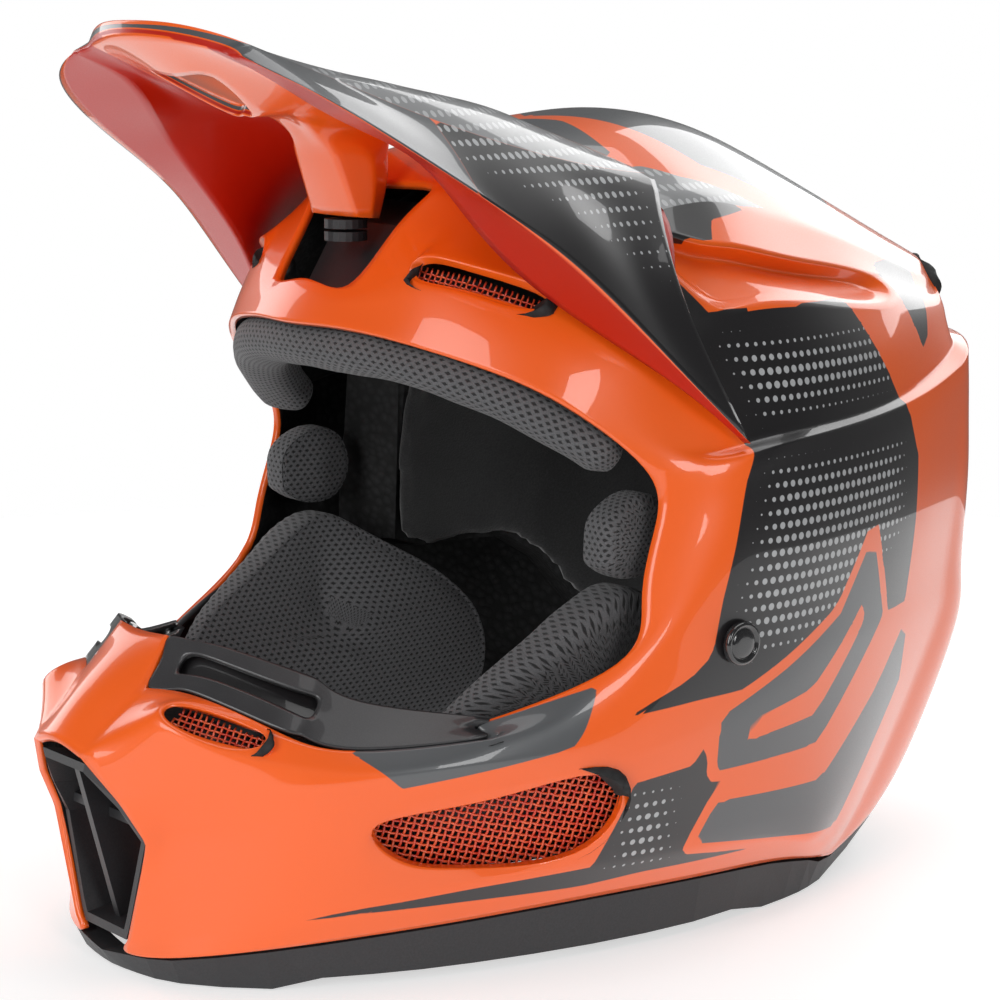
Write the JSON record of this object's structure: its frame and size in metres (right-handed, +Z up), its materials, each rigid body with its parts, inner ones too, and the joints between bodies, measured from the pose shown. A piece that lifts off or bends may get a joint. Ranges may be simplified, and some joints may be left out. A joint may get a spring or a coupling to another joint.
{
  "type": "motocross helmet",
  "caption": "Full-face off-road helmet with a long peak over the eyeport, a chin bar with nose guard, vents, padded lining and a chin strap on metal rings.",
  "frame": {"origin": "centre of the bounding box's bottom face", "axes": "+Z up, the wearer faces -Y, +X is the wearer's left"},
  "size_m": [0.2482, 0.3626, 0.2965],
  "materials": {
    "shell_paint": "orange, black and grey graphics under clear lacquer",
    "visor_paint": "orange with dark flanks, glossy",
    "guard_rubber": "satin charcoal",
    "trim_rubber": "satin black",
    "vent_mesh": "red lacquered wire cloth",
    "dark_plastic": "fine-grained moulding",
    "energy_foam": "black expanded bead foam",
    "pad_fabric": "knitted spacer cloth over soft foam",
    "webbing": "woven webbing",
    "steel": "satin"
  },
  "bodies": {
    "shell": {"base_trim": "trim_rubber", "brow_mesh_left": "vent_mesh", "brow_mesh_right": "vent_mesh", "brow_pad": "pad_fabric", "cheek_plate_left": "dark_plastic", "cheek_plate_right": "dark_plastic", "chin_mesh_left": "vent_mesh", "chin_mesh_right": "vent_mesh", "comfort_liner": "pad_fabric", "eps_chin_left": "energy_foam", "eps_chin_right": "energy_foam", "eps_crown": "energy_foam", "forehead_duct": "dark_plastic", "mouth_vent_frame": "dark_plastic", "mouth_vent_mesh": "vent_mesh", "neck_roll": "pad_fabric", "nose_guard_left": "guard_rubber", "nose_guard_right": "guard_rubber", "outer_shell": "shell_paint", "shell_magnet_center": "steel", "side_mesh_left": "vent_mesh", "side_mesh_right": "vent_mesh", "strap_anchor_cap_left": "dark_plastic", "strap_anchor_cap_right": "dark_plastic", "strap_anchor_washer_left": "steel", "strap_anchor_washer_right": "steel", "temple_pad_left": "pad_fabric", "temple_pad_right": "pad_fabric"},
    "visor": {"visor": "visor_paint", "visor_magnet_center": "steel"},
    "chin_strap": {"strap_left": "webbing", "strap_right": "webbing", "strap_tail": "webbing", "d_ring_inner": "steel", "strap_snap_stud": "steel"},
    "release_ring": {"d_ring_outer": "steel"},
    "cheek_left": {"cheek_pad_left": "pad_fabric", "cheek_snap_left_1": "dark_plastic", "cheek_snap_left_2": "dark_plastic"},
    "cheek_right": {"cheek_pad_right": "pad_fabric", "cheek_snap_right_1": "dark_plastic", "cheek_snap_right_2": "dark_plastic"}
  },
  "joints": [
    {"name": "visor_release", "type": "slide", "parent": "shell", "child": "visor", "axis": [0, -0.8, 0.6], "range_m": [0, 0.03]},
    {"name": "chin_strap_swing", "type": "hinge", "parent": "shell", "child": "chin_strap", "pos_m": [0, -0.00327, 0.097], "axis": [1, 0, 0], "range_deg": [-8, 2]},
    {"name": "d_ring_release", "type": "hinge", "parent": "chin_strap", "child": "release_ring", "pos_m": [0.0206, -0.03526, 0.0132], "axis": [0, 1, 0], "range_deg": [0, 25]},
    {"name": "cheek_pad_left_release", "type": "slide", "parent": "shell", "child": "cheek_left", "axis": [-1, 0, 0], "range_m": [0, 0.025]},
    {"name": "cheek_pad_right_release", "type": "slide", "parent": "shell", "child": "cheek_right", "axis": [1, 0, 0], "range_m": [0, 0.025]}
  ]
}
